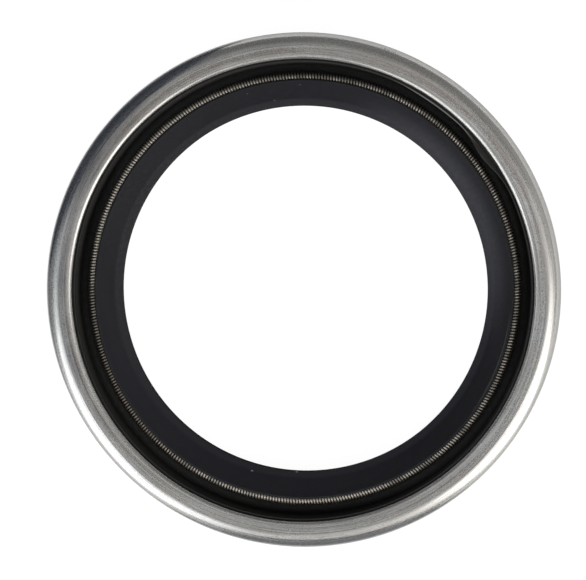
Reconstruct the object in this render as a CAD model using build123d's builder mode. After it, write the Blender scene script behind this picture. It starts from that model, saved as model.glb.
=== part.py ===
from build123d import *
from math import atan, cos, degrees, exp, pi, radians, sin, tan
import os

# A radial shaft seal with a turned-in metal case, a moulded rubber sealing element and a garter spring.
# The shaft's axis is Z. The seal lies on its flat back, at Z = 0, with the spring side up.
# All lengths are in millimetres and all angles in degrees.

# Seal family
shaft_diameter = 72.0
section_height = 14.0  # from the shaft to the housing bore
seal_width = 12.0

# Outer case: one drawn sheet with its front edge turned in
case_sheet = 1.3
shoulder_radius = 2.5
back_corner_radius = 1.6
rim_width = 5.15
rim_droop = 5.0  # the turned-in rim falls by this angle towards the bore

# Inner case: an angle ring that stiffens the rubber inside the outer case
ring_sheet = 1.2
ring_corner_radius = 1.8
ring_clearance = 0.05
ring_edge_cover = 1.8  # rubber between the ring's inner edge and the flexing wall
ring_back_show = 2.4  # how far the ring reaches inside the opening of the case's back

# Garter spring
coil_diameter = 2.2
coil_pitch = 0.571
wire_diameter = 0.5
coil_relief = 0.19  # the gaps between turns are this deep
spring_rise = 2.3  # the spring's plane stands this far in front of the lip's edge
spring_clearance = 0.04

# Sealing lip and its head
lip_interference = 0.2
lip_height = 5.6
lip_land = 0.3
facet_width = 1.3
facet_rise = 0.5
head_depth = 5.45  # from the lip's edge to the spring's centre line
nose_setback = 0.3
nose_stand = 0.9
ledge_reach = 0.9
ledge_thickness = 0.6
flank_angle = 30.0
flex_thickness = 1.4
flex_length = 1.45

# Dust lip and back of the rubber
dust_lip_gap = 0.1
dust_lip_land = 0.25
dust_lip_height = 0.7
dust_root_height = 2.0
dust_lip_thickness = 0.9
back_recess = 0.35
recess_depth = 0.6
edge_gap = 0.1  # between the rubber and the outer case where they only face each other

# Rubber lining of the case and its moulding flash
floor_cover = 0.8
lining_show = 0.5  # the lining stands this far inside the rim
lining_draft = 2.0
flash_width = 0.25
flash_height = 0.35

# Torn flash that has come away from the rim, measured from the X axis round the shaft's axis
flap_start = 23.0
flap_end = 66.0
flap_peak = 36.8
flap_spread = 6.1
flap_reach = 1.15
flap_rise = 0.45
shelf_start = 47.5
shelf_end = 62.0
shelf_reach = 0.3
shelf_blend = 1.5  # the shelf fades in and out over about this angle
flash_root_depth = 0.3
flap_sections = 15

# Soft edges of the rubber
nose_round = 0.28
ledge_round = 0.3
facet_round = 1.5
floor_round = 0.9
flex_round = 0.7
dust_root_round = 0.6
back_round = 0.3
bead_round = 0.5

# Radii worked out from the sizes above
shaft_radius = shaft_diameter / 2
case_radius = shaft_radius + section_height
rim_radius = case_radius - rim_width
lining_radius = rim_radius - lining_show
lip_radius = shaft_radius - lip_interference
spring_ring_radius = lip_radius + head_depth
spring_height = lip_height + spring_rise
coil_radius = coil_diameter / 2
groove_radius = coil_radius + spring_clearance
half_case = case_sheet / 2
half_ring = ring_sheet / 2

# Heights of the inner case, counted from the back
ring_base_height = case_sheet + ring_clearance
ring_middle_height = ring_base_height + half_ring
floor_height = ring_base_height + ring_sheet + floor_cover
ring_wall_radius = case_radius - case_sheet - ring_clearance - half_ring
ring_wall_top = seal_width - shoulder_radius


def flank_offset_radius(height, depth):
    # Radius at a height on the line that lies a depth behind the lip's back flank
    heel_height = lip_height - lip_land / 2
    return lip_radius + depth / cos(radians(flank_angle)) + (heel_height - height) * tan(radians(flank_angle))


flex_foot_radius = flank_offset_radius(floor_height, flex_thickness)
flex_head_radius = flank_offset_radius(floor_height + flex_length, flex_thickness)
ring_opening_radius = flex_foot_radius + ring_edge_cover
back_opening_radius = ring_opening_radius + ring_back_show

# Outer case: the middle line of the sheet from the back opening to the turned-in rim, given its thickness
with BuildPart() as outer_case:
    with BuildSketch(Plane.XZ):
        with BuildLine():
            back = Line(
                (back_opening_radius + half_case, half_case),
                (case_radius - back_corner_radius, half_case),
            )
            corner = JernArc(back @ 1, back % 1, back_corner_radius - half_case, 90)
            wall = Line(corner @ 1, (case_radius - half_case, seal_width - shoulder_radius))
            shoulder = JernArc(wall @ 1, wall % 1, shoulder_radius - half_case, 90 + rim_droop)
            rim = PolarLine(
                shoulder @ 1,
                (shoulder @ 1).X - rim_radius - half_case,
                direction=shoulder % 1,
                length_mode=LengthMode.HORIZONTAL,
            )
            offset(amount=half_case, side=Side.BOTH)
        make_face()
    revolve(axis=Axis.Z)

outer_case.part.label = "outer_case"

# Inner case: the same kind of section, an angle with its flange at the back
with BuildPart() as inner_case:
    with BuildSketch(Plane.XZ):
        with BuildLine():
            flange = Line(
                (ring_opening_radius + half_ring, ring_middle_height),
                (ring_wall_radius + half_ring - ring_corner_radius, ring_middle_height),
            )
            bend = JernArc(flange @ 1, flange % 1, ring_corner_radius - half_ring, 90)
            Line(bend @ 1, (ring_wall_radius, ring_wall_top - half_ring))
            offset(amount=half_ring, side=Side.BOTH)
        make_face()
    revolve(axis=Axis.Z)

inner_case.part.label = "inner_case"

# Sealing element: corners of its section, each with its radius, height and rounding
bead_height = (rim @ 1).Y - half_case - edge_gap
bond_radius = ring_wall_radius - half_ring
ledge_radius = spring_ring_radius + ledge_reach
nose_radius = spring_ring_radius - nose_setback
facet_radius = lip_radius + facet_width
dust_lip_radius = shaft_radius + dust_lip_gap
lining_foot_radius = lining_radius - (bead_height - floor_height) * tan(radians(lining_draft))
dust_root_radius = flank_offset_radius(dust_root_height, 0)
recess_radius = dust_root_radius + dust_lip_thickness

section_corners = [
    (bond_radius, bead_height, bead_round),
    (lining_radius, bead_height, 0),
    (lining_foot_radius, floor_height, floor_round),
    (flex_foot_radius, floor_height, floor_round),
    (flex_head_radius, floor_height + flex_length, flex_round),
    (ledge_radius, spring_height - groove_radius - ledge_thickness + ledge_round, ledge_round),
    (ledge_radius, spring_height, 0),
    (nose_radius, spring_height, 0),
    (nose_radius, spring_height + coil_radius + nose_stand, nose_round),
    (facet_radius, lip_height + lip_land / 2 + facet_rise, facet_round),
    (lip_radius, lip_height + lip_land / 2, 0),
    (lip_radius, lip_height - lip_land / 2, 0),
    (dust_root_radius, dust_root_height, dust_root_round),
    (dust_lip_radius, dust_lip_height + dust_lip_land, 0),
    (dust_lip_radius, dust_lip_height, 0),
    (recess_radius, back_recess + recess_depth, back_round),
    (recess_radius + recess_depth, back_recess, back_round),
    (back_opening_radius - edge_gap, back_recess, 0),
    (back_opening_radius - edge_gap, ring_middle_height, 0),
    (bond_radius, ring_middle_height, 0),
]


def flap_lean(angle):
    # How far the torn flash leans into the groove: one deep wave and a shallow shelf after it
    wave = flap_reach * exp(-(((angle - flap_peak) / flap_spread) ** 2))
    fade_in = 1 / (1 + exp((shelf_start - angle) / shelf_blend))
    fade_out = 1 / (1 + exp((angle - shelf_end) / shelf_blend))
    return wave + shelf_reach * fade_in * fade_out


def flash_outline(lean):
    # Section of the thin flash that stands on the lining's inner edge and leans inwards
    rise = flap_rise * lean / flap_reach
    Polyline(
        (lining_radius + flash_width, bead_height - flash_root_depth),
        (lining_radius + flash_width, bead_height),
        (lining_radius + flash_width - lean, bead_height + flash_height + rise),
        (lining_radius - lean, bead_height + flash_height + rise),
        (lining_radius, bead_height - flash_root_depth),
        close=True,
    )


with BuildPart() as sealing_element:
    with BuildSketch(Plane.XZ):
        with BuildLine():
            FilletPolyline(
                *[(radius, height) for radius, height, rounding in section_corners],
                radius=[rounding for radius, height, rounding in section_corners],
                close=True,
            )
        make_face()
        with Locations((spring_ring_radius, spring_height)):
            Circle(groove_radius, mode=Mode.SUBTRACT)
    revolve(axis=Axis.Z)

    # The rubber is moulded round the inner case
    add(inner_case.part, mode=Mode.SUBTRACT)

    # The flash stands upright along most of the rim
    with BuildSketch(Plane.XZ.rotated((0, 0, flap_end))):
        with BuildLine():
            flash_outline(0)
        make_face()
    revolve(axis=Axis.Z, revolution_arc=360 - flap_end + flap_start)

    # The torn stretch is lofted through thin leaning strips
    for step in range(flap_sections):
        angle = flap_start + (flap_end - flap_start) * step / (flap_sections - 1)
        with BuildSketch(Plane.XZ.rotated((0, 0, angle))):
            with BuildLine():
                flash_outline(flap_lean(angle))
            make_face()
    loft()

sealing_element.part.label = "sealing_element"

# Garter spring: turns lofted through leaning six-sided sections, ridge and gap in turn, for a quarter of the ring
coil_sides = 6
ring_quarters = 4
mean_coil_diameter = coil_diameter - wire_diameter
coil_lean = degrees(atan(coil_pitch / 2 / mean_coil_diameter))
turns_per_quarter = round(2 * pi * spring_ring_radius / coil_pitch / ring_quarters)
gap_angle = 360 / ring_quarters / turns_per_quarter / 2

with BuildPart() as garter_spring:
    for step in range(2 * turns_per_quarter + 1):
        angle = step * gap_angle
        outward = Vector(cos(radians(angle)), sin(radians(angle)), 0)
        along = Vector(-sin(radians(angle)), cos(radians(angle)), 0)
        leaning = along.rotate(Axis((0, 0, 0), outward), coil_lean)
        centre = outward * spring_ring_radius + Vector(0, 0, spring_height)
        relief = coil_relief if step % 2 == 0 else 0
        with BuildSketch(Plane(centre, x_dir=outward, z_dir=leaning)):
            RegularPolygon(coil_radius - relief, coil_sides, rotation=180 / coil_sides)
    quarter = loft(ruled=True, mode=Mode.PRIVATE)
    with PolarLocations(0, ring_quarters):
        add(quarter)

garter_spring.part.label = "garter_spring"

os.makedirs("parts", exist_ok=True)
export_step(outer_case.part, "parts/outer_case.step")
export_step(inner_case.part, "parts/inner_case.step")
export_step(sealing_element.part, "parts/sealing_element.step")
export_step(garter_spring.part, "parts/garter_spring.step")
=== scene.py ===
import math

import bpy
import numpy as np
from mathutils import Matrix, Vector


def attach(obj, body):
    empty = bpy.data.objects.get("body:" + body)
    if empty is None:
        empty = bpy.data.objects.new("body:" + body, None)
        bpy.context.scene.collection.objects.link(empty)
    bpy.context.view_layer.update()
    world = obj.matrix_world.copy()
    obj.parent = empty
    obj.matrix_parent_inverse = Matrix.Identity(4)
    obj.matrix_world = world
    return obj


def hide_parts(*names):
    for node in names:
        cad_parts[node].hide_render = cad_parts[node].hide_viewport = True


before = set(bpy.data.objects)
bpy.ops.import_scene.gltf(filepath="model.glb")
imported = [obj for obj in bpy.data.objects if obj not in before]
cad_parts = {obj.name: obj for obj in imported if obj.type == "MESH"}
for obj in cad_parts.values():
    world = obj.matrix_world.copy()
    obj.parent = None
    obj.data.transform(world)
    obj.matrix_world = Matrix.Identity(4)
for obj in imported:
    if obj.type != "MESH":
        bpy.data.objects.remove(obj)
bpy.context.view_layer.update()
scene = bpy.context.scene
mm = 0.001
almost = 0.999  # share of half a thickness to which an edge is rounded, so that its two arcs stay apart
print("frame loaded")


# Section outlines, in millimetres as (radius, height)

def roundCorner(before, corner, after, rounding, arcStep):
    # An arc that touches both sides of a corner: it starts rounding / tan(half angle) away from the corner,
    # and its centre lies rounding / sin(half angle) along the middle line between the sides
    if rounding <= 0:
        return corner[None, :]
    toBefore = (before - corner) / np.linalg.norm(before - corner)
    toAfter = (after - corner) / np.linalg.norm(after - corner)
    half = math.acos(float(np.clip(toBefore @ toAfter, -1, 1))) / 2
    middle = (toBefore + toAfter) / np.linalg.norm(toBefore + toAfter)
    centre = corner + middle * rounding / math.sin(half)
    start = corner + toBefore * rounding / math.tan(half) - centre
    end = corner + toAfter * rounding / math.tan(half) - centre
    first = math.atan2(start[1], start[0])
    sweep = (math.atan2(end[1], end[0]) - first + math.pi) % (2 * math.pi) - math.pi
    fewest, most = 3, 14
    steps = int(np.clip(math.ceil(abs(sweep) * rounding / arcStep), fewest, most))
    angle = first + sweep * np.linspace(0, 1, steps + 1)
    return centre + rounding * np.stack([np.cos(angle), np.sin(angle)], axis=1)


def outlineOf(corners, sizes):
    # Closed outline: the rounded corners in turn, with points added along each straight run, the first and the
    # last of them close to its ends
    support = sizes["support"]
    places = np.array([corner[:2] for corner in corners], dtype=float)
    rounded = np.concatenate([
        roundCorner(places[i - 1], places[i], places[(i + 1) % len(places)], corners[i][2], sizes["arcStep"])
        for i in range(len(places))
    ])
    pieces = []
    for start, end in zip(rounded, np.roll(rounded, -1, axis=0)):
        length = np.linalg.norm(end - start)
        share = np.array([0.0])
        if length > 4 * support:
            edge = support / length
            inner = np.linspace(edge, 1 - edge, max(2, round(length / sizes["longStep"]) + 1))
            share = np.concatenate([[0.0], inner])
        pieces.append(start + (end - start) * share[:, None])
    return np.concatenate(pieces)


# Meshes from grids of points

def gridPiece(name, points):
    # points[i, j] is closed in both directions, and a face joins (i, j), (i+1, j), (i+1, j+1), (i, j+1)
    rows, columns = points.shape[:2]
    index = np.arange(rows * columns).reshape(rows, columns)
    nextRow = np.roll(index, -1, axis=0)
    nextBoth = np.roll(nextRow, -1, axis=1)
    nextColumn = np.roll(index, -1, axis=1)
    faces = np.stack([index, nextRow, nextBoth, nextColumn], axis=-1).reshape(-1, 4)
    mesh = bpy.data.meshes.new(name)
    mesh.vertices.add(rows * columns)
    mesh.vertices.foreach_set("co", (points * mm).astype(np.float32).ravel())
    mesh.loops.add(faces.size)
    mesh.loops.foreach_set("vertex_index", faces.ravel().astype(np.int32))
    mesh.polygons.add(len(faces))
    mesh.polygons.foreach_set("loop_start", np.arange(0, faces.size, 4, dtype=np.int32))
    mesh.polygons.foreach_set("use_smooth", np.ones(len(faces), dtype=bool))
    mesh.update(calc_edges=True)
    piece = bpy.data.objects.new(name, mesh)
    scene.collection.objects.link(piece)
    print(name, "made,", 2 * len(faces), "triangles")
    return piece


def turnedPoints(outline, turns):
    # Surface of revolution: (radius cos angle, radius sin angle, height) for each angle and outline point
    angle = np.linspace(0, 2 * math.pi, turns, endpoint=False)[:, None]
    radius = outline[None, :, 0]
    height = outline[None, :, 1] + 0 * angle
    return np.stack([radius * np.cos(angle), radius * np.sin(angle), height], axis=-1)


# Shader helpers. Those that work something out add nodes to a tree and hand back the last output

def feed(tree, socket, value):
    # Links an output to a socket, or sets a plain value on it
    if isinstance(value, bpy.types.NodeSocket):
        tree.links.new(value, socket)
    else:
        socket.default_value = value


def calc(tree, operation, first, second=0.0, clamp=False):
    # First and second value joined by one operation, kept between 0 and 1 if clamped
    node = tree.nodes.new("ShaderNodeMath")
    node.operation = operation
    node.use_clamp = clamp
    feed(tree, node.inputs[0], first)
    feed(tree, node.inputs[1], second)
    return node.outputs[0]


def fade(tree, value, start, end, low=0.0, high=1.0):
    # Soft step: low before the start, high after the end, smooth between them
    node = tree.nodes.new("ShaderNodeMapRange")
    node.interpolation_type = "SMOOTHSTEP"
    feed(tree, node.inputs["Value"], value)
    if start <= end:
        ends = (start, end, low, high)
    else:
        ends = (end, start, high, low)
    for socket, setting in zip(("From Min", "From Max", "To Min", "To Max"), ends):
        node.inputs[socket].default_value = setting
    return node.outputs["Result"]


def window(tree, value, low, high, soft):
    # 1 between low and high, fading to 0 over the soft distance on each side
    rise = fade(tree, value, low - soft, low + soft)
    fall = fade(tree, value, high + soft, high - soft)
    return calc(tree, "MULTIPLY", rise, fall)


def speckle(tree, vector, scale, detail=3.0, rough=0.5):
    # Noise round 0.5, with about as many grains per metre as the scale
    node = tree.nodes.new("ShaderNodeTexNoise")
    feed(tree, node.inputs["Vector"], vector)
    node.inputs["Scale"].default_value = scale
    node.inputs["Detail"].default_value = detail
    node.inputs["Roughness"].default_value = rough
    return node.outputs["Fac"]


def tint(tree, share, first, second):
    # first x (1 - share) + second x share, for colours
    node = tree.nodes.new("ShaderNodeMix")
    node.data_type = "RGBA"
    feed(tree, node.inputs["Factor"], share)
    feed(tree, node.inputs["A"], (*first, 1.0) if isinstance(first, tuple) else first)
    feed(tree, node.inputs["B"], (*second, 1.0) if isinstance(second, tuple) else second)
    return node.outputs["Result"]


def distanceOf(tree, x, y):
    # Square root of x squared plus y squared
    squares = calc(tree, "ADD", calc(tree, "MULTIPLY", x, x), calc(tree, "MULTIPLY", y, y))
    return calc(tree, "SQRT", squares)


def surfacePlace(tree):
    # Object coordinates in metres, and the distance from the axis
    vector = tree.nodes.new("ShaderNodeTexCoord").outputs["Object"]
    split = tree.nodes.new("ShaderNodeSeparateXYZ")
    tree.links.new(vector, split.inputs[0])
    x, y, z = split.outputs
    return {"vector": vector, "x": x, "y": y, "z": z, "radius": distanceOf(tree, x, y)}


def packVector(tree, x, y, z):
    # One vector of three values
    node = tree.nodes.new("ShaderNodeCombineXYZ")
    for socket, value in zip(node.inputs, (x, y, z)):
        feed(tree, socket, value)
    return node.outputs[0]


def spotAt(tree, vector, spot):
    # 1 at a place on the ring, fading to 0 over the spot's lengths along the ring and across it
    mapping = tree.nodes.new("ShaderNodeMapping")
    mapping.vector_type = "TEXTURE"
    turn = math.radians(spot["azimuth"])
    radius, across = spot["radius"] * mm, spot["across"] * mm
    mapping.inputs["Location"].default_value = (radius * math.cos(turn), radius * math.sin(turn), spot["height"] * mm)
    mapping.inputs["Rotation"].default_value = (0, 0, turn)
    mapping.inputs["Scale"].default_value = (across, spot["along"] * mm, across)
    tree.links.new(vector, mapping.inputs["Vector"])
    length = tree.nodes.new("ShaderNodeVectorMath")
    length.operation = "LENGTH"
    tree.links.new(mapping.outputs[0], length.inputs[0])
    return fade(tree, length.outputs["Value"], 1.0, 0.0)


def arcAt(tree, place, arc):
    # 1 on a stretch of a ring, fading to 0 over the spread in degrees on each side and over the length across it.
    # The cosine of the angle to the stretch's middle is (x cos azimuth + y sin azimuth) / radius
    turn = math.radians(arc["azimuth"])
    alongX = calc(tree, "MULTIPLY", place["x"], math.cos(turn))
    alongY = calc(tree, "MULTIPLY", place["y"], math.sin(turn))
    cosine = calc(tree, "DIVIDE", calc(tree, "ADD", alongX, alongY), place["radius"])
    stretch = fade(tree, cosine, math.cos(math.radians(arc["spread"])), 1.0)
    off = calc(tree, "ABSOLUTE", calc(tree, "SUBTRACT", place["radius"], arc["ring"] * mm))
    return calc(tree, "MULTIPLY", stretch, fade(tree, off, arc["across"] * mm, 0.0))


def zoneAt(tree, place, zone):
    # 1 in a band round the axis, from one radius to another with soft sides, and past a height, 0 elsewhere
    band = window(tree, place["radius"], *zone["band"])
    return calc(tree, "MULTIPLY", band, fade(tree, place["z"], *zone["height"]))


def brokenSpot(tree, vector, spot):
    # A spot that noise breaks up: spot x soft step of the noise
    grain = fade(tree, speckle(tree, vector, spot["grainScale"]), *spot["grain"])
    return calc(tree, "MULTIPLY", spotAt(tree, vector, spot), grain)


def newMaterial(name):
    # A material with its node tree and its principled shader
    material = bpy.data.materials.new(name)
    material.use_nodes = True
    tree = material.node_tree
    return material, tree, tree.nodes["Principled BSDF"]


def addShader(tree, kind, **settings):
    # A shader node with some sockets set
    node = tree.nodes.new(kind)
    for socket, value in settings.items():
        node.inputs[socket].default_value = value
    return node.outputs[0]


def bumpFrom(tree, shader, height, strength, distance):
    # Tilts the shader's normal as if the surface rose by height x distance in metres
    node = tree.nodes.new("ShaderNodeBump")
    node.inputs["Strength"].default_value = strength
    node.inputs["Distance"].default_value = distance
    feed(tree, node.inputs["Height"], height)
    tree.links.new(node.outputs[0], shader.inputs["Normal"])


# Outer case: a drawn steel sheet with its front edge turned in

caseSizes = {
    "radius": 50.0, "width": 12.0, "sheet": 1.3,
    "shoulder": 2.5, "backCorner": 1.6,
    "rimInside": 44.85, "rimDroop": 5.0,
    "backOpening": 42.829,
    "turns": 420, "arcStep": 0.16, "longStep": 0.6, "support": 0.05,  # steps round the axis and along the section
}


def caseOutline(sizes):
    # The sheet's section: outside, turned-in rim that droops towards the axis, then back along the inside
    half = sizes["sheet"] / 2
    droop = math.radians(sizes["rimDroop"])
    along = np.array([-math.cos(droop), -math.sin(droop)])
    upward = np.array([-math.sin(droop), math.cos(droop)])
    bend = np.array([sizes["radius"] - sizes["shoulder"], sizes["width"] - sizes["shoulder"]])
    middle = bend + upward * (sizes["shoulder"] - half)
    tip = middle + along * (middle[0] - sizes["rimInside"] - half) / math.cos(droop)

    def heightAt(side, radius):
        foot = tip + upward * half * side
        return foot[1] + (radius - foot[0]) * math.tan(droop)

    inside = sizes["radius"] - sizes["sheet"]
    tipTop = tip + (along + upward) * half
    tipUnder = tip + (along - upward) * half
    tipRound = half * almost
    return [
        (sizes["radius"], 0.0, sizes["backCorner"]),
        (sizes["radius"], heightAt(1, sizes["radius"]), sizes["shoulder"]),
        (tipTop[0], tipTop[1], tipRound),
        (tipUnder[0], tipUnder[1], tipRound),
        (inside, heightAt(-1, inside), sizes["shoulder"] - sizes["sheet"]),
        (inside, sizes["sheet"], sizes["backCorner"] - sizes["sheet"]),
        (sizes["backOpening"], sizes["sheet"], tipRound),
        (sizes["backOpening"], 0.0, tipRound),
    ]


caseSection = outlineOf(caseOutline(caseSizes), caseSizes)
outerCase = gridPiece("outerCase", turnedPoints(caseSection, caseSizes["turns"]))
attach(outerCase, "root")
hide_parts("outer_case")

# In the look of a material, the places and sizes of stains, painted light and shade, stretches of rings and spots are
# in millimetres, all else in metres
caseLook = {
    "steel": (0.62, 0.615, 0.60),
    "tarnish": (0.44, 0.42, 0.395),
    "stainsAndShade": [
        {"azimuth": 195.0, "spread": 50.0, "ring": 46.2, "across": 0.62, "colour": (0.24, 0.225, 0.21)},
        {"azimuth": 38.0, "spread": 44.0, "ring": 46.95, "across": 0.50, "colour": (0.40, 0.345, 0.31)},
        # painted shade: darkens the flat rim from about 210 to 360 degrees
        {"azimuth": 285.0, "spread": 75.0, "ring": 46.1, "across": 0.8, "colour": (0.44, 0.44, 0.43)},
        # painted shade and reflection: a bluish darkening of the flat rim round 176 degrees
        {"azimuth": 176.0, "spread": 46.0, "ring": 46.9, "across": 1.0, "colour": (0.26, 0.265, 0.285)},
        {"azimuth": 308.0, "spread": 34.0, "ring": 46.45, "across": 0.18, "colour": (0.36, 0.32, 0.29)},
        {"azimuth": 328.0, "spread": 26.0, "ring": 47.5, "across": 0.15, "colour": (0.32, 0.27, 0.24)},
        # painted shade: darkens the flat rim round 108 degrees
        {"azimuth": 108.0, "spread": 62.0, "ring": 46.5, "across": 1.5, "colour": (0.31, 0.295, 0.275)},
    ],
    "rust": {"azimuth": 269.0, "radius": 49.75, "height": 9.6, "along": 11.0, "across": 1.3,
             "colour": (0.34, 0.22, 0.17), "grainScale": 900.0, "grain": (0.35, 0.6)},
    "scratch": {"azimuth": 70.0, "radius": 49.35, "height": 11.2, "along": 3.4, "across": 0.35,
                "colour": (0.10, 0.10, 0.11), "grainScale": 2500.0, "grain": (0.42, 0.58)},
    "lineScale": 5200.0,  # how fine the turning lines are across the sheet, per metre
    "lineLength": 45.0,  # how soon a line changes along the ring, per metre
    "grainScale": 7000.0,  # how fine the matt grain between the lines is, per metre
    "cloudScale": 90.0,
    "ringScale": 1300.0, "ringLength": 14.0,  # the dull rings on the rim, across and along as for the lines
    "rimBand": (0.0452, 0.0478, 0.0006),  # where the rim is dull: from, to, soft side
    "dullFrom": 0.70, "dullTo": 1.30,
    "stainScale": 900.0, "stainWander": 0.00006,  # the edges of the stains and of the painted shade wander by this length
    "roughFrom": 0.85, "roughTo": 1.2, "roughness": (0.16, 0.44), "dullRoughness": 0.08,
    "bump": (0.2, 0.00002),
}


def caseSteel(look):
    # Bright steel with turning lines, a dull rim, stains and painted shade, rust and a scratch. Roughness = soft step
    # of (lines + grain) + dullRoughness x (dull + rust)
    material, tree, shader = newMaterial("turnedSteel")
    place = surfacePlace(tree)
    vector, x, y, radius = place["vector"], place["x"], place["y"], place["radius"]

    def ringNoise(length, across, **settings):
        # Noise drawn out along the ring
        drawnOut = packVector(tree, calc(tree, "MULTIPLY", x, length), calc(tree, "MULTIPLY", y, length), across)
        return speckle(tree, drawnOut, 1.0, **settings)

    lineAcross = calc(tree, "MULTIPLY", calc(tree, "SUBTRACT", radius, place["z"]), look["lineScale"])
    lines = ringNoise(look["lineLength"], lineAcross, detail=4.0, rough=0.6)
    rings = ringNoise(look["ringLength"], calc(tree, "MULTIPLY", radius, look["ringScale"]), rough=0.6)
    clouds = speckle(tree, vector, look["cloudScale"], rough=0.55)
    worn = fade(tree, calc(tree, "ADD", clouds, rings), look["dullFrom"], look["dullTo"])
    dull = calc(tree, "MULTIPLY", window(tree, radius, *look["rimBand"]), worn, clamp=True)
    colour = tint(tree, dull, look["steel"], look["tarnish"])

    edgeNoise = speckle(tree, vector, look["stainScale"], detail=4.0, rough=0.6)
    wander = fade(tree, edgeNoise, 0.3, 0.7, -look["stainWander"], look["stainWander"])
    uneven = {**place, "radius": calc(tree, "ADD", radius, wander)}
    strength = fade(tree, clouds, 0.25, 0.6, 0.6, 1.0)
    # Stains, and painted shade that darkens the flat rim in three places
    for stainOrShade in look["stainsAndShade"]:
        share = calc(tree, "MULTIPLY", arcAt(tree, uneven, stainOrShade), strength)
        colour = tint(tree, share, colour, stainOrShade["colour"])
    rust = brokenSpot(tree, vector, look["rust"])
    colour = tint(tree, rust, colour, look["rust"]["colour"])
    scratch = brokenSpot(tree, vector, look["scratch"])
    colour = tint(tree, scratch, colour, look["scratch"]["colour"])
    feed(tree, shader.inputs["Base Color"], colour)

    shader.inputs["Metallic"].default_value = 1.0
    grain = calc(tree, "ADD", lines, speckle(tree, vector, look["grainScale"], detail=2.0))
    rough = fade(tree, grain, look["roughFrom"], look["roughTo"], *look["roughness"])
    matt = calc(tree, "MULTIPLY", calc(tree, "ADD", dull, rust), look["dullRoughness"])
    feed(tree, shader.inputs["Roughness"], calc(tree, "ADD", rough, matt))
    bumpFrom(tree, shader, lines, *look["bump"])
    return material


outerCase.data.materials.append(caseSteel(caseLook))


# Sealing element: one rubber moulding with lining, floor, flexing wall, spring groove, lips and flash

rubberSizes = {
    "bondRadius": 47.4, "beadHeight": 10.432, "beadRound": 0.5,
    "liningRadius": 44.35, "liningDraft": 2.0,
    "flashWidth": 0.25, "flashHeight": 0.35,
    "floorHeight": 3.35, "floorRound": 0.9,
    "flankAngle": 30.0, "flexThickness": 1.4, "flexLength": 1.45, "flexRound": 0.7,
    "springRadius": 41.25, "springHeight": 7.9, "grooveRadius": 1.14, "coilRadius": 1.1,
    "ledgeReach": 0.9, "ledgeThickness": 0.6, "ledgeRound": 0.3,
    "noseSetback": 0.42, "noseStand": 0.9, "noseRound": 0.28,
    "lipRadius": 35.8, "lipHeight": 5.6, "lipLand": 0.3,
    "facetWidth": 1.3, "facetRise": 0.5, "facetRound": 1.5,
    "dustLipRadius": 36.1, "dustLipHeight": 0.7, "dustLipLand": 0.25, "dustLipThickness": 0.9,
    "dustRootHeight": 2.0, "dustRootRound": 0.6,
    "backRecess": 0.35, "recessDepth": 0.6, "backRound": 0.3, "backEdge": 42.729,
    "ringBase": 1.35, "ringTop": 2.55, "ringEdgeCover": 1.8, "ringBend": 0.6,
    "headShift": (0.155, 0.17),  # the free lip and its spring lie a little off the axis
    "shiftFrom": 4.6, "shiftTo": 6.6,  # from no shift to all of it between these heights
    "fineRound": 0.05,
    "turns": 376, "arcStep": 0.14, "longStep": 0.55, "support": 0.05, "grooveSteps": 26,
}

flapSizes = {
    "peak": 36.8, "spread": 6.1, "reach": 1.15, "rise": 0.45,
    "shelfStart": 47.5, "shelfEnd": 62.0, "shelfReach": 0.3, "shelfBlend": 1.5,
    "width": 0.6,  # the flash's points lie within a band this wide
    "wave": 0.035,  # height of the flash's uneven edge
    "waveCounts": (57, 23, 91),  # waves round the ring
}


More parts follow.
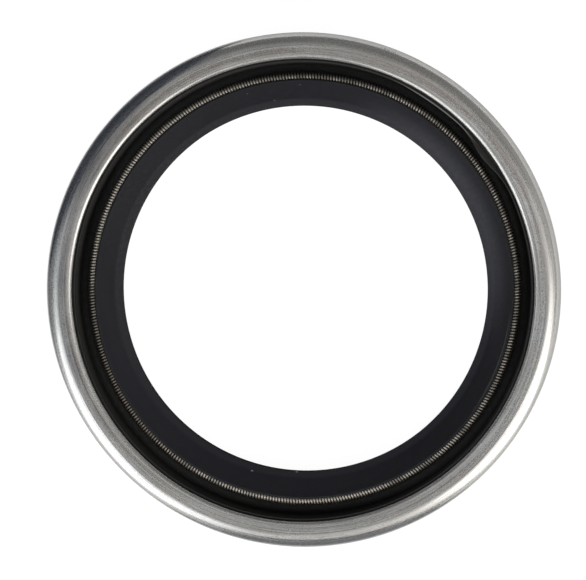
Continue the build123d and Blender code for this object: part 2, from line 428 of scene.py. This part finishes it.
def rubberOutline(sizes):
    # The moulding's section, with the rubber on the left: lining, floor, flexing wall, groove, head, lip, dust lip,
    # back, and the edge that lies round the inner case
    slope = math.tan(math.radians(sizes["flankAngle"]))
    lean = math.cos(math.radians(sizes["flankAngle"]))
    heel = sizes["lipHeight"] - sizes["lipLand"] / 2

    def flankRadius(height, depth):
        return sizes["lipRadius"] + depth / lean + (heel - height) * slope

    floorTop = sizes["floorHeight"]
    flexTop = floorTop + sizes["flexLength"]
    flexFoot = flankRadius(floorTop, sizes["flexThickness"])
    flexHead = flankRadius(flexTop, sizes["flexThickness"])
    dustRoot = flankRadius(sizes["dustRootHeight"], 0)
    recess = dustRoot + sizes["dustLipThickness"]
    ringEdge = flexFoot + sizes["ringEdgeCover"]
    ledge = sizes["springRadius"] + sizes["ledgeReach"]
    nose = sizes["springRadius"] - sizes["noseSetback"]
    lining = sizes["liningRadius"]
    liningFoot = lining - (sizes["beadHeight"] - floorTop) * math.tan(math.radians(sizes["liningDraft"]))
    flashTop = sizes["beadHeight"] + sizes["flashHeight"]
    groove = sizes["grooveRadius"]
    ledgeAngle = -math.acos(sizes["ledgeReach"] / groove)
    noseAngle = math.acos(-sizes["noseSetback"] / groove) - 2 * math.pi
    grooveArc = [
        (sizes["springRadius"] + groove * math.cos(turn), sizes["springHeight"] + groove * math.sin(turn), 0.0)
        for turn in np.linspace(ledgeAngle, noseAngle, sizes["grooveSteps"])
    ]
    ledgeHeight = sizes["springHeight"] - groove - sizes["ledgeThickness"] + sizes["ledgeRound"]
    facetHeight = heel + sizes["lipLand"] + sizes["facetRise"]
    fine = sizes["fineRound"]
    return [
        (sizes["bondRadius"], sizes["beadHeight"], sizes["beadRound"]),
        (lining + sizes["flashWidth"], sizes["beadHeight"], 0.0),
        (lining + sizes["flashWidth"], flashTop, fine),
        (lining, flashTop, fine),
        (lining, sizes["beadHeight"], 0.0),
        (liningFoot, floorTop, sizes["floorRound"]),
        (flexFoot, floorTop, sizes["floorRound"]),
        (flexHead, flexTop, sizes["flexRound"]),
        (ledge, ledgeHeight, sizes["ledgeRound"]),
        *grooveArc,
        (nose, sizes["springHeight"] + sizes["coilRadius"] + sizes["noseStand"], sizes["noseRound"]),
        (sizes["lipRadius"] + sizes["facetWidth"], facetHeight, sizes["facetRound"]),
        (sizes["lipRadius"], heel + sizes["lipLand"], fine),
        (sizes["lipRadius"], heel, fine),
        (dustRoot, sizes["dustRootHeight"], sizes["dustRootRound"]),
        (sizes["dustLipRadius"], sizes["dustLipHeight"] + sizes["dustLipLand"], fine),
        (sizes["dustLipRadius"], sizes["dustLipHeight"], fine),
        (recess, sizes["backRecess"] + sizes["recessDepth"], sizes["backRound"]),
        (recess + sizes["recessDepth"], sizes["backRecess"], sizes["backRound"]),
        (sizes["backEdge"], sizes["backRecess"], fine),
        (sizes["backEdge"], sizes["ringBase"], 0.0),
        (ringEdge, sizes["ringBase"], sizes["ringBend"] * almost),
        (ringEdge, sizes["ringTop"], sizes["ringBend"] * almost),
        (sizes["bondRadius"], sizes["ringTop"], sizes["ringBend"]),
    ]


def flapLean(degrees, sizes):
    # Lean of the torn flash: a bell-shaped wave at the peak, then a shelf that fades in and out
    wave = sizes["reach"] * np.exp(-(((degrees - sizes["peak"]) / sizes["spread"]) ** 2))
    fadeIn = 1 / (1 + np.exp((sizes["shelfStart"] - degrees) / sizes["shelfBlend"]))
    fadeOut = 1 / (1 + np.exp((degrees - sizes["shelfEnd"]) / sizes["shelfBlend"]))
    return wave + sizes["shelfReach"] * fadeIn * fadeOut


def rubberPoints(sizes, flap):
    # The turned section, with the flash moved inwards and up by its share of the lean at each angle and its edge
    # made uneven by wave x (sin(first angle) + sin(second angle + 1) x sin(third angle)), and with the lip head
    # moved sideways by the shift x (3 rise^2 - 2 rise^3), where rise runs from 0 to 1 up the head
    outline = outlineOf(rubberOutline(sizes), sizes)
    points = turnedPoints(outline, sizes["turns"])
    angle = np.linspace(0, 2 * math.pi, sizes["turns"], endpoint=False)[:, None]
    onFlash = np.abs(outline[:, 0] - sizes["liningRadius"] - sizes["flashWidth"] / 2) < flap["width"] / 2
    share = np.clip((outline[:, 1] - sizes["beadHeight"]) / sizes["flashHeight"], 0, 1) * onFlash
    lean = flapLean(np.degrees(angle), flap) * share[None, :]
    first, second, third = flap["waveCounts"]
    uneven = np.sin(first * angle) + np.sin(second * angle + 1.0) * np.sin(third * angle)
    radius = outline[None, :, 0] - lean
    rise = np.clip((outline[:, 1] - sizes["shiftFrom"]) / (sizes["shiftTo"] - sizes["shiftFrom"]), 0, 1)
    onHead = rise * rise * (3 - 2 * rise) * (outline[:, 0] < sizes["springRadius"] + 2 * sizes["ledgeReach"])
    points[..., 0] = radius * np.cos(angle) + sizes["headShift"][0] * onHead
    points[..., 1] = radius * np.sin(angle) + sizes["headShift"][1] * onHead
    points[..., 2] += lean * flap["rise"] / flap["reach"] + flap["wave"] * share * uneven
    return points


sealingElement = gridPiece("sealingElement", rubberPoints(rubberSizes, flapSizes))
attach(sealingElement, "root")
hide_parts("sealing_element")

rubberLook = {
    "deep": (0.019, 0.0185, 0.0185),
    # painted light: a lighter colour for the channel's floor and lining, where shade falls
    "floor": (0.040, 0.039, 0.038),
    "face": (0.0030, 0.0032, 0.0068),
    "dusty": (0.0135, 0.0138, 0.0205),
    "torn": (0.029, 0.0285, 0.027),
    "worn": (0.0185, 0.0185, 0.0250), "wornShare": 0.6,
    "mottleScale": 1500.0, "cloudScale": 130.0,
    "dust": (0.40, 0.72), "dustCut": 0.1,
    "lowDust": {"azimuth": 243.0, "spread": 80.0, "ring": 38.0, "across": 6.0, "share": 0.85},
    "zones": {  # radius from, to and soft side, then the heights where the zone begins and where it is full
        "head": {"band": (0.0350, 0.0409, 0.0002), "height": (0.0052, 0.0056)},
        "facet": {"band": (0.0350, 0.0372, 0.0003), "height": (0.0054, 0.0057)},
        "paintedLightChannel": {"band": (0.0427, 0.0446, 0.0002), "height": (0.0102, 0.0096)},
        "flash": {"band": (0.0431, 0.0450, 0.0002), "height": (0.0100, 0.0109)},
    },
    "paintedHighlights": [  # painted sheen on the lip face, and painted highlights on the nose's rounded edge and on the flash's top edge; their heights, in metres, are those where they begin and where they are full
        # painted sheen on the lip face
        {"azimuth": 30.0, "spread": 50.0, "ring": 37.3, "across": 3.0, "height": (0.0054, 0.0057),
         "colour": (0.037, 0.0375, 0.046)},
        # painted highlight along the nose's rounded edge
        {"azimuth": 339.0, "spread": 17.0, "ring": 40.4, "across": 0.16, "height": (0.0054, 0.0057),
         "colour": (0.055, 0.055, 0.055)},
        # painted highlight along the torn flash's top edge
        {"azimuth": 54.0, "spread": 16.0, "ring": 44.2, "across": 0.34, "height": (0.01070, 0.01078),
         "colour": (0.20, 0.20, 0.20)},
    ],
    "specks": [  # grey levels, since the specks are dust
        {"azimuth": 254.0, "radius": 37.2, "height": 6.35, "along": 0.35, "across": 0.16, "grey": 0.5},
        {"azimuth": 267.6, "radius": 35.95, "height": 5.85, "along": 0.4, "across": 0.2, "grey": 0.3},
        {"azimuth": 91.0, "radius": 39.8, "height": 8.8, "along": 0.3, "across": 0.2, "grey": 0.12},
        {"azimuth": 106.0, "radius": 39.6, "height": 8.6, "along": 0.3, "across": 0.2, "grey": 0.12},
        {"azimuth": 99.0, "radius": 37.2, "height": 6.35, "along": 0.3, "across": 0.2, "grey": 0.10},
    ],
    "roughness": (0.54, 0.76), "specular": 0.34,
    "bump": (0.35, 0.00006),
}


def blackRubber(look):
    # Black rubber: deep parts, a channel painted lighter where shade falls (painted light), dusty head with a worn
    # facet, specks, torn flash, and arcs of painted sheen and painted highlights, one tint over the other
    material, tree, shader = newMaterial("blackRubber")
    place = surfacePlace(tree)
    vector = place["vector"]
    zones = {name: zoneAt(tree, place, zone) for name, zone in look["zones"].items()}
    mottle = speckle(tree, vector, look["mottleScale"], detail=5.0, rough=0.65)
    clouds = speckle(tree, vector, look["cloudScale"])

    # Dust lies in patches on the head, and more of it on the lower left
    dust = calc(tree, "MULTIPLY", fade(tree, mottle, *look["dust"]), fade(tree, clouds, 0.25, 0.75, 0.4, 1.0))
    low = calc(tree, "MULTIPLY", arcAt(tree, place, look["lowDust"]), look["lowDust"]["share"])
    dust = calc(tree, "ADD", calc(tree, "SUBTRACT", dust, look["dustCut"]), low, clamp=True)
    # Painted light: the channel between the ledge and the lining is lighter than the deep parts
    colour = tint(tree, zones["paintedLightChannel"], look["deep"], look["floor"])
    colour = tint(tree, zones["head"], colour, tint(tree, dust, look["face"], look["dusty"]))
    colour = tint(tree, calc(tree, "MULTIPLY", zones["facet"], look["wornShare"]), colour, look["worn"])

    # The specks sit on the shifted head
    moved = tree.nodes.new("ShaderNodeVectorMath")
    moved.operation = "SUBTRACT"
    tree.links.new(vector, moved.inputs[0])
    moved.inputs[1].default_value = [shift * mm for shift in (*rubberSizes["headShift"], 0.0)]
    for speck in look["specks"]:
        colour = tint(tree, spotAt(tree, moved.outputs[0], speck), colour, (speck["grey"],) * 3)
    torn = calc(tree, "MULTIPLY", zones["flash"], fade(tree, mottle, 0.35, 0.65, 0.3, 1.0))
    colour = tint(tree, torn, colour, look["torn"])
    # Painted sheen and painted highlights
    for arc in look["paintedHighlights"]:
        share = calc(tree, "MULTIPLY", arcAt(tree, place, arc), fade(tree, place["z"], *arc["height"]))
        colour = tint(tree, share, colour, arc["colour"])
    feed(tree, shader.inputs["Base Color"], colour)

    feed(tree, shader.inputs["Roughness"], fade(tree, mottle, 0.3, 0.7, *look["roughness"]))
    shader.inputs["Specular IOR Level"].default_value = look["specular"]
    bumpFrom(tree, shader, mottle, *look["bump"])
    return material


sealingElement.data.materials.append(blackRubber(rubberLook))


# Garter spring: close-wound wire, bent into a ring

springSizes = {
    "ringRadius": 41.25, "height": 7.9,
    "wire": 0.25, "coil": 0.85,  # radius of the wire and of the coil's middle line
    "turns": 452, "stepsPerTurn": 12, "sides": 6,
    "joint": 10.0, "jointWidth": 0.45,  # degrees: where the ends meet, and over how much the coil narrows there
    "jointDip": 0.12,
}


def springPoints(sizes):
    # A helix whose axis is a circle: the coil angle runs turns times round while the ring angle runs once, and
    # the coil's radius is coil - dip x exp(-gap^2). Round the wire, points are centre + wire x (cos side x outward
    # + sin side x binormal)
    count = sizes["turns"] * sizes["stepsPerTurn"]
    ring = np.linspace(0, 2 * math.pi, count, endpoint=False)
    coil = -sizes["turns"] * ring
    gap = (np.degrees(ring) - sizes["joint"]) / sizes["jointWidth"]
    coilRadius = sizes["coil"] - sizes["jointDip"] * np.exp(-gap ** 2)
    radial = np.stack([np.cos(ring), np.sin(ring), 0 * ring], axis=1)
    upward = np.array([0.0, 0.0, 1.0])
    outward = np.cos(coil)[:, None] * radial + np.sin(coil)[:, None] * upward
    middle = np.array([*rubberSizes["headShift"], sizes["height"]])
    centre = sizes["ringRadius"] * radial + middle + coilRadius[:, None] * outward
    along = np.roll(centre, -1, axis=0) - np.roll(centre, 1, axis=0)
    along /= np.linalg.norm(along, axis=1)[:, None]
    binormal = np.cross(outward, along)
    side = np.linspace(0, 2 * math.pi, sizes["sides"], endpoint=False)
    across = np.cos(side)[None, :, None] * outward[:, None, :]
    across = across + np.sin(side)[None, :, None] * binormal[:, None, :]
    return centre[:, None, :] + sizes["wire"] * across


garterSpring = gridPiece("garterSpring", springPoints(springSizes))
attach(garterSpring, "root")
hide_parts("garter_spring")

wireLook = {
    "bright": (0.40, 0.378, 0.34), "dull": (0.22, 0.208, 0.187), "roughness": (0.42, 0.54),
    # painted shade colour and share for the coils' outer side
    "paintedShade": (0.05, 0.046, 0.04), "paintedShadeShare": 0.75,
    "paintedShadeFrom": 0.0413, "paintedShadeTo": 0.0422,  # painted shade: the turns darken between these distances from the spring's axis, where the coil turns down into shade
    # painted light and shade: brighter round 140 and 275 degrees, darker round 209 degrees
    "paintedLightStretches": [
        {"azimuth": 140.0, "spread": 48.0, "ring": 41.25, "across": 6.0, "colour": (0.62, 0.58, 0.51)},
        {"azimuth": 209.0, "spread": 34.0, "ring": 41.25, "across": 6.0, "colour": (0.19, 0.17, 0.145)},
        {"azimuth": 275.0, "spread": 24.0, "ring": 41.25, "across": 6.0, "colour": (0.44, 0.41, 0.36)},
    ],
    "paintedLightShare": 0.9,
    "wearScale": 420.0,
}


def springWire(look):
    # Worn wire, with painted light and shade along some stretches of the ring, and painted shade on the coil's side
    # away from the lip
    material, tree, shader = newMaterial("springWire")
    place = surfacePlace(tree)
    worn = fade(tree, speckle(tree, place["vector"], look["wearScale"], detail=4.0, rough=0.6), 0.38, 0.62)
    colour = tint(tree, worn, look["bright"], look["dull"])
    # Painted light and shade along stretches of the ring
    for stretch in look["paintedLightStretches"]:
        share = calc(tree, "MULTIPLY", arcAt(tree, place, stretch), look["paintedLightShare"])
        colour = tint(tree, share, colour, stretch["colour"])
    shiftX, shiftY = rubberSizes["headShift"]
    fromAxis = distanceOf(tree, calc(tree, "SUBTRACT", place["x"], shiftX * mm),
                          calc(tree, "SUBTRACT", place["y"], shiftY * mm))
    # Painted shade on the outer side of the coils
    paintedShade = fade(tree, fromAxis, look["paintedShadeFrom"], look["paintedShadeTo"], 0.0, look["paintedShadeShare"])
    feed(tree, shader.inputs["Base Color"], tint(tree, paintedShade, colour, look["paintedShade"]))
    shader.inputs["Metallic"].default_value = 1.0
    feed(tree, shader.inputs["Roughness"], fade(tree, worn, 0.0, 1.0, *look["roughness"]))
    return material


garterSpring.data.materials.append(springWire(wireLook))


# Inner case: the frame's own ring, which stays as it is, almost all of it inside the rubber

innerLook = {"steel": (0.40, 0.40, 0.40), "dark": (0.28, 0.27, 0.26), "cloudScale": 500.0, "roughness": 0.42}


def pressedSteel(look):
    # Dull steel, clouded by noise
    material, tree, shader = newMaterial("pressedSteel")
    vector = surfacePlace(tree)["vector"]
    clouds = fade(tree, speckle(tree, vector, look["cloudScale"], detail=4.0, rough=0.6), 0.35, 0.65)
    feed(tree, shader.inputs["Base Color"], tint(tree, clouds, look["steel"], look["dark"]))
    shader.inputs["Metallic"].default_value = 1.0
    shader.inputs["Roughness"].default_value = look["roughness"]
    return material


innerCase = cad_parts["inner_case"]
innerCase.data.materials.clear()
innerCase.data.materials.append(pressedSteel(innerLook))
print("materials done")


# Stage: white floor, soft boxes, two cards and a plain grey studio

floorLook = {
    "half": 6.0,  # metres from the middle to a side
    "colour": 0.86, "glow": 0.965, "shade": 0.12,
    "near": 0.075, "far": 0.17,  # metres from the middle, between which reflections come to see the glow
}


def whiteFloor(look):
    # White paint that lights the object. The camera, and reflections beyond the near floor, see a white glow
    # to which the lit paint adds a small share, so that the shadow stays soft
    mesh = bpy.data.meshes.new("floor")
    half = look["half"]
    mesh.from_pydata([(-half, -half, 0), (half, -half, 0), (half, half, 0), (-half, half, 0)], [], [(0, 1, 2, 3)])
    floor = bpy.data.objects.new("floor", mesh)
    scene.collection.objects.link(floor)
    material, tree, shader = newMaterial("whiteFloor")
    tree.nodes.remove(shader)
    farOff = fade(tree, surfacePlace(tree)["radius"], look["near"], look["far"])
    rays = tree.nodes.new("ShaderNodeLightPath")
    mirrored = calc(tree, "MAXIMUM", rays.outputs["Is Glossy Ray"], rays.outputs["Is Transmission Ray"])
    mirrored = calc(tree, "MULTIPLY", mirrored, farOff)
    glowing = calc(tree, "MAXIMUM", rays.outputs["Is Camera Ray"], mirrored)
    paint = addShader(tree, "ShaderNodeBsdfDiffuse", Color=(look["colour"],) * 3 + (1.0,))
    shaded = addShader(tree, "ShaderNodeBsdfDiffuse", Color=(look["shade"],) * 3 + (1.0,))
    glow = addShader(tree, "ShaderNodeEmission", Strength=look["glow"])
    seen = tree.nodes.new("ShaderNodeAddShader")
    tree.links.new(shaded, seen.inputs[0])
    tree.links.new(glow, seen.inputs[1])
    mix = tree.nodes.new("ShaderNodeMixShader")
    tree.links.new(glowing, mix.inputs[0])
    tree.links.new(paint, mix.inputs[1])
    tree.links.new(seen.outputs[0], mix.inputs[2])
    tree.links.new(mix.outputs[0], tree.nodes["Material Output"].inputs["Surface"])
    mesh.materials.append(material)
    return floor


# Cards close round the case, which only reflections see. Each gives its gap to the shoulder in millimetres, how
# high it reaches, in degrees above the shoulder, at some angles round the object, and from which share of that
# height up it thins out
cardLooks = [
    {"name": "navyCard", "gap": 16.0, "colour": (0.042, 0.048, 0.062), "solid": 0.66,
     "reach": [(104, -34), (111, 16), (117, 70), (125, 108), (138, 130), (150, 124), (158, 96), (166, 56),
               (173, 14), (179, -34)]},
    {"name": "greyCard", "gap": 18.0, "colour": (0.20, 0.208, 0.225), "solid": 0.85,
     "reach": [(150, 130), (160, 104), (168, 76), (178, 44), (188, 4), (198, -14), (206, -28), (212, -34),
               (234, -34), (244, -10), (256, 8), (266, 34), (278, 42), (290, 27), (298, 6), (304, -12),
               (310, -34)]},
]
cardSizes = {"radius": 49.0, "height": 11.0, "foot": -35.0, "stepsRound": 90, "stepsUp": 30}


def closeCard(look, sizes):
    # Part of a tube round the shoulder: (radius + gap cos lift, height + gap sin lift), from the foot's lift
    # up to a lift that is read off the card's reach at each angle
    reach = np.array(look["reach"], dtype=float)
    azimuth = np.linspace(reach[0, 0], reach[-1, 0], sizes["stepsRound"])[:, None]
    top = np.interp(azimuth, reach[:, 0], reach[:, 1])
    share = np.linspace(0, 1, sizes["stepsUp"])[None, :] + 0 * azimuth
    lift = np.radians(sizes["foot"] + (top - sizes["foot"]) * share)
    turn = np.radians(azimuth)
    radius = sizes["radius"] + look["gap"] * np.cos(lift)
    points = np.stack([radius * np.cos(turn), radius * np.sin(turn),
                       sizes["height"] + look["gap"] * np.sin(lift)], axis=-1) * mm
    index = np.arange(points.shape[0] * points.shape[1]).reshape(points.shape[:2])
    faces = np.stack([index[:-1, :-1], index[1:, :-1], index[1:, 1:], index[:-1, 1:]], axis=-1).reshape(-1, 4)
    mesh = bpy.data.meshes.new(look["name"])
    mesh.from_pydata(points.reshape(-1, 3).tolist(), [], faces.tolist())
    mesh.attributes.new("share", "FLOAT", "POINT").data.foreach_set("value", share.reshape(-1))
    card = bpy.data.objects.new(look["name"], mesh)
    scene.collection.objects.link(card)
    card.visible_camera = False
    card.visible_diffuse = False
    card.visible_shadow = False
    material, tree, shader = newMaterial(look["name"])
    tree.nodes.remove(shader)
    glow = addShader(tree, "ShaderNodeEmission", Color=(*look["colour"], 1.0))
    clear = addShader(tree, "ShaderNodeBsdfTransparent")
    height = tree.nodes.new("ShaderNodeAttribute")
    height.attribute_name = "share"
    mix = tree.nodes.new("ShaderNodeMixShader")
    feed(tree, mix.inputs[0], fade(tree, height.outputs["Fac"], look["solid"], 1.0))
    tree.links.new(glow, mix.inputs[1])
    tree.links.new(clear, mix.inputs[2])
    tree.links.new(mix.outputs[0], tree.nodes["Material Output"].inputs["Surface"])
    mesh.materials.append(material)
    return card


floor = whiteFloor(floorLook)
[closeCard(look, cardSizes) for look in cardLooks]


def directionTo(azimuth, elevation):
    # Unit vector (cos azimuth cos elevation, sin azimuth cos elevation, sin elevation)
    turn, lift = math.radians(azimuth), math.radians(elevation)
    return Vector((math.cos(turn) * math.cos(lift), math.sin(turn) * math.cos(lift), math.sin(lift)))


# Each bright box has a wide faint one behind it, so that its reflection fades out at the edges. Lengths in metres
softBoxes = [
    {"name": "softBoxLeft", "azimuth": 220.0, "elevation": 34.0, "distance": 1.0, "wide": 0.80, "high": 1.54,
     "level": 1.6, "colour": (0.98, 0.99, 1.0)},
    {"name": "haloLeft", "azimuth": 220.0, "elevation": 36.0, "distance": 1.05, "wide": 1.12, "high": 1.95,
     "level": 0.26, "colour": (0.90, 0.96, 1.0)},
    {"name": "softBoxRight", "azimuth": 322.5, "elevation": 38.5, "distance": 1.0, "wide": 0.78, "high": 1.60,
     "level": 1.6, "colour": (1.0, 0.985, 0.955)},
    {"name": "haloRight", "azimuth": 320.0, "elevation": 43.0, "distance": 1.05, "wide": 1.15, "high": 2.15,
     "level": 0.42, "colour": (1.0, 0.95, 0.91)},
]


def softBox(look):
    # An oval area lamp whose brightness is its power / (pi x area), aimed at the object
    lamp = bpy.data.lights.new(look["name"], "AREA")
    lamp.shape = "ELLIPSE"
    lamp.size = look["wide"]
    lamp.size_y = look["high"]
    lamp.energy = look["level"] * math.pi * look["wide"] * look["high"] * math.pi / 4
    lamp.color = look["colour"]
    box = bpy.data.objects.new(look["name"], lamp)
    direction = directionTo(look["azimuth"], look["elevation"])
    box.location = direction * look["distance"]
    box.rotation_euler = direction.to_track_quat("Z", "Y").to_euler()
    scene.collection.objects.link(box)


for look in softBoxes:
    softBox(look)

studioLook = {
    "base": (0.165, 0.164, 0.161),
    "horizon": (0.03, -0.01),  # white begins and is full at these heights of a direction
    "glows": [
        {"azimuth": 6.0, "elevation": 25.0, "tightness": 6.0, "colour": (0.33, 0.32, 0.30)},
        {"azimuth": 130.0, "elevation": 77.0, "tightness": 45.0, "colour": (0.17, 0.168, 0.162)},
        {"azimuth": 178.0, "elevation": 62.0, "tightness": 14.0, "colour": (0.02, 0.05, 0.09)},
        {"azimuth": 0.0, "elevation": 90.0, "tightness": 10.0, "colour": (0.04, 0.04, 0.039)},
    ],
}


def studioWorld(look):
    # Grey studio: a base level plus soft glows, each colour x exp(-tightness x (1 - cosine to its direction)).
    # The camera, and reflections from below the horizon, see plain white
    world = bpy.data.worlds.new("studio")
    scene.world = world
    world.use_nodes = True
    tree = world.node_tree
    background = tree.nodes["Background"]
    direction = tree.nodes.new("ShaderNodeTexCoord").outputs["Generated"]
    colour = (*look["base"], 1.0)
    for glow in look["glows"]:
        dot = tree.nodes.new("ShaderNodeVectorMath")
        dot.operation = "DOT_PRODUCT"
        tree.links.new(direction, dot.inputs[0])
        dot.inputs[1].default_value = directionTo(glow["azimuth"], glow["elevation"])
        fall = calc(tree, "MULTIPLY", calc(tree, "SUBTRACT", dot.outputs["Value"], 1.0), glow["tightness"])
        level = calc(tree, "EXPONENT", fall)
        add = tree.nodes.new("ShaderNodeMix")
        add.data_type = "RGBA"
        add.blend_type = "ADD"
        feed(tree, add.inputs["Factor"], level)
        feed(tree, add.inputs["A"], colour)
        add.inputs["B"].default_value = (*glow["colour"], 1.0)
        colour = add.outputs["Result"]
    rays = tree.nodes.new("ShaderNodeLightPath")
    split = tree.nodes.new("ShaderNodeSeparateXYZ")
    tree.links.new(direction, split.inputs[0])
    below = fade(tree, split.outputs["Z"], *look["horizon"])
    mirrored = calc(tree, "MAXIMUM", rays.outputs["Is Glossy Ray"], rays.outputs["Is Transmission Ray"])
    white = calc(tree, "MAXIMUM", rays.outputs["Is Camera Ray"], calc(tree, "MULTIPLY", mirrored, below))
    tree.links.new(tint(tree, white, colour, (1.0, 1.0, 1.0)), background.inputs["Color"])


studioWorld(studioLook)
print("lights done")


# Camera: almost straight above, leaning a little towards the upper right of the picture

cameraLook = {
    "tilt": 5.4, "azimuth": 37.0, "distance": 530.0,  # millimetres from the aim
    "aim": (-1.77, 0.18, 10.0),
    "scale": 5.157,  # picture points per millimetre at the aim
    "pictureWidth": 586,
    "sensorWidth": 36.0, "clipEnd": 100.0,
}


def placeCamera(look):
    # Focal length = sensor width x distance / width seen at the aim, which is picture width / scale
    camera = bpy.data.objects.new("camera", bpy.data.cameras.new("camera"))
    scene.collection.objects.link(camera)
    camera.data.sensor_width = look["sensorWidth"]
    camera.data.lens = look["sensorWidth"] * look["scale"] * look["distance"] / look["pictureWidth"]
    camera.data.clip_end = look["clipEnd"]
    back = directionTo(look["azimuth"], 90.0 - look["tilt"])
    right = Vector((0, 1, 0)).cross(back).normalized()
    upward = back.cross(right)
    turn = Matrix((right, upward, back)).transposed().to_4x4()
    camera.matrix_world = Matrix.Translation(Vector(look["aim"]) * mm + back * look["distance"] * mm) @ turn
    scene.camera = camera


placeCamera(cameraLook)
scene.view_settings.view_transform = "Standard"


print("scene ready")
